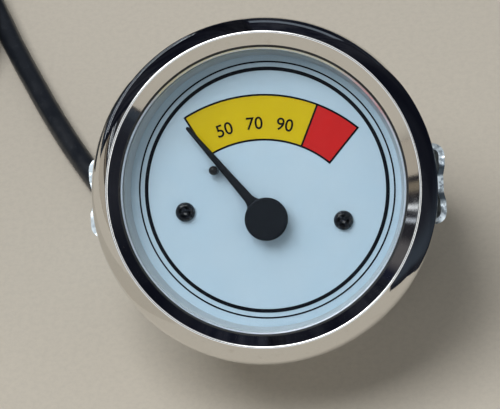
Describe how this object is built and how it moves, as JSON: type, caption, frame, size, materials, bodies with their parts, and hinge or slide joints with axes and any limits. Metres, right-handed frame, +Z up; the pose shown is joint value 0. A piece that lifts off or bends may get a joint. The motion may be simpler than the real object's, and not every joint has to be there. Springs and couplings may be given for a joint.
{
  "type": "remote reading thermometer",
  "caption": "Round panel thermometer with a chromed bezel and colour-banded dial, a clamp bracket on two studs, and a sheathed capillary coiled up to a screw-in sensing bulb.",
  "frame": {"origin": "on the surface it rests on, below the middle of the gauge head's bounding box, the free capillary and bulb left out", "axes": "+X along the line of the two studs, to the dial's right; -Y to the viewer in front of the dial; +Z up. The head leans back 46 degrees and rests on the rear corner of its case and the ends of its studs."},
  "size_m": [0.1634, 0.1497, 0.0596],
  "materials": {
    "case_steel": "bright zinc plating, fine drawing marks",
    "bezel_chrome": "polished chrome plating",
    "glass": "clear flat glass",
    "rubber_seal": "matt black rubber",
    "spacer_grey": "pale grey, satin",
    "dial_white": "white stove enamel, satin, with a printed scale",
    "black_oxide": "black screws, satin",
    "black_gloss": "gloss black",
    "pointer_black": "matt black",
    "cap_black": "satin black",
    "movement_brass": "turned and stamped brass, satin",
    "blue_steel": "blued spring steel",
    "screw_steel": "nickel plated screws",
    "spring_bronze": "phosphor bronze, drawn",
    "bare_copper": "bare copper",
    "zinc_steel": "bright zinc plating",
    "bracket_zinc": "bright zinc plated strip",
    "boot_rubber": "black moulded rubber, matt",
    "cord_black": "black vinyl sheath, semi-gloss",
    "tie_fibre": "woven black strap",
    "ferrule_brass": "crimped brass",
    "nut_brass": "machined brass hexagon",
    "bulb_brass": "turned brass, bright"
  },
  "bodies": {
    "gauge": {"case": "case_steel", "bezel": "bezel_chrome", "glass": "glass", "glass_seal": "rubber_seal", "spacer_ring": "spacer_grey", "dial_plate": "dial_white", "dial_screws": "black_oxide", "stop_pin": "black_gloss", "hairspring": "blue_steel", "hairspring_stud": "movement_brass", "front_plate": "movement_brass", "back_plate": "movement_brass", "plate_pillars": "movement_brass", "plate_screws": "screw_steel", "dial_posts": "movement_brass", "bourdon_tube": "spring_bronze", "tube_block": "movement_brass", "plate_block_screws": "screw_steel", "block_screws": "screw_steel", "capillary_core": "bare_copper", "stud_left": "zinc_steel", "stud_right": "zinc_steel", "capillary_boot": "boot_rubber", "capillary_lead": "cord_black", "capillary_coil": "cord_black", "coil_tie": "tie_fibre", "capillary_tail": "cord_black", "bulb_ferrule": "ferrule_brass", "bulb": "bulb_brass"},
    "pointer": {"pointer": "pointer_black", "pointer_cap": "cap_black", "pinion_spindle": "movement_brass", "spring_collet": "movement_brass"},
    "sector": {"sector": "movement_brass", "sector_arbor": "movement_brass", "sector_link_pin": "screw_steel"},
    "link": {"link": "movement_brass"},
    "tube_tip": {"tube_tip": "movement_brass", "tip_link_pin": "screw_steel"},
    "bracket": {"clamp_bracket": "bracket_zinc", "spring_washers": "zinc_steel"},
    "nut_left": {"stud_nut_left": "zinc_steel"},
    "nut_right": {"stud_nut_right": "zinc_steel"},
    "union_nut": {"union_nut": "nut_brass"}
  },
  "joints": [
    {"name": "pointer_sweep", "type": "hinge", "parent": "gauge", "child": "pointer", "pos_m": [0.00015, -0.01007, 0.03326], "axis": [0, 0.6943, -0.7197], "range_deg": [0, 84], "stiffness_Nm_per_rad": 0.00001, "springref_deg": -17.19, "deforming": ["hairspring"]},
    {"name": "sector_swing", "type": "hinge", "parent": "gauge", "child": "sector", "pos_m": [0.00971, -0.01071, 0.03265], "axis": [0, 0.6943, -0.7197], "range_deg": [-12.01, 0.01]},
    {"name": "link_swing", "type": "hinge", "parent": "sector", "child": "link", "pos_m": [0.0144, -0.01195, 0.03144], "axis": [0, 0.6943, -0.7197], "range_deg": [-0.01, 12.01]},
    {"name": "tip_swing", "type": "hinge", "parent": "gauge", "child": "tube_tip", "pos_m": [-0.00365, -0.00412, 0.039], "axis": [0, 0.6943, -0.7197], "range_deg": [-3.12, 0.01], "deforming": ["bourdon_tube"]},
    {"name": "bracket_slide", "type": "slide", "parent": "gauge", "child": "bracket", "axis": [0, 0.6943, -0.7197], "range_m": [-0.0018, 0.006]},
    {"name": "nut_left_spin", "type": "hinge", "parent": "bracket", "child": "nut_left", "pos_m": [-0.018, 0.02025, 0.00887], "axis": [0, 0.6943, -0.7197], "continuous": true},
    {"name": "nut_right_spin", "type": "hinge", "parent": "bracket", "child": "nut_right", "pos_m": [0.018, 0.02025, 0.00887], "axis": [0, 0.6943, -0.7197], "continuous": true},
    {"name": "union_nut_spin", "type": "hinge", "parent": "gauge", "child": "union_nut", "pos_m": [-0.09731, 0.00222, 0.00863], "axis": [0.5431, -0.8363, -0.0751], "continuous": true}
  ],
  "couplings": [
    {"joint": "sector_swing", "follows": "pointer_sweep", "ratio": -0.14286},
    {"joint": "link_swing", "follows": "pointer_sweep", "ratio": 0.14286},
    {"joint": "tip_swing", "follows": "pointer_sweep", "ratio": -0.037009},
    {"joint": "nut_left_spin", "follows": "bracket_slide", "rad_per_m": -8976},
    {"joint": "nut_right_spin", "follows": "bracket_slide", "rad_per_m": -8976}
  ]
}
